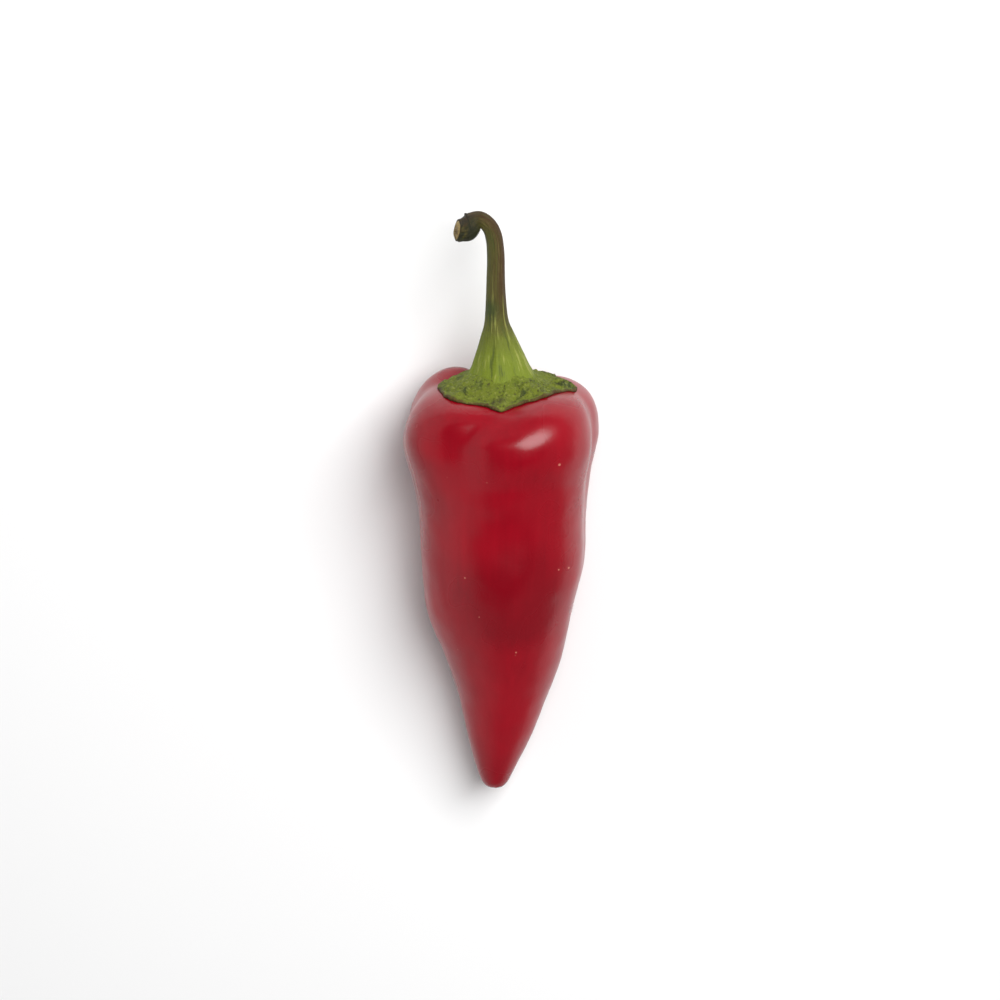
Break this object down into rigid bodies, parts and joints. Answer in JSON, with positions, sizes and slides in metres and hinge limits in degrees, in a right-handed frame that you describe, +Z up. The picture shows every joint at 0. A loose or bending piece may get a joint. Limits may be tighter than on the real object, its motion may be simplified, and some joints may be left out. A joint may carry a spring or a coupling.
{
  "type": "chilli pepper",
  "caption": "Ripe red chilli pepper as picked, lying on its side: broad-shouldered, lobed and tapering to a blunt tip, with a green calyx and a hooked stem.",
  "frame": {"origin": "on the surface that the pepper lies on, under the middle of its bounding box", "axes": "+Z up from that surface; +Y along the pepper towards its stem, so the tip is at -Y; +X across it"},
  "size_m": [0.032, 0.097, 0.0308],
  "materials": {
    "pod_skin": "smooth waxy skin, glossy deep red",
    "calyx": "fleshy wrinkled green with a brownish margin",
    "stem": "ribbed olive green, dull, with a pale dry cut end"
  },
  "bodies": {
    "root": {"pod": "pod_skin", "calyx": "calyx", "stem": "stem"}
  },
  "joints": []
}
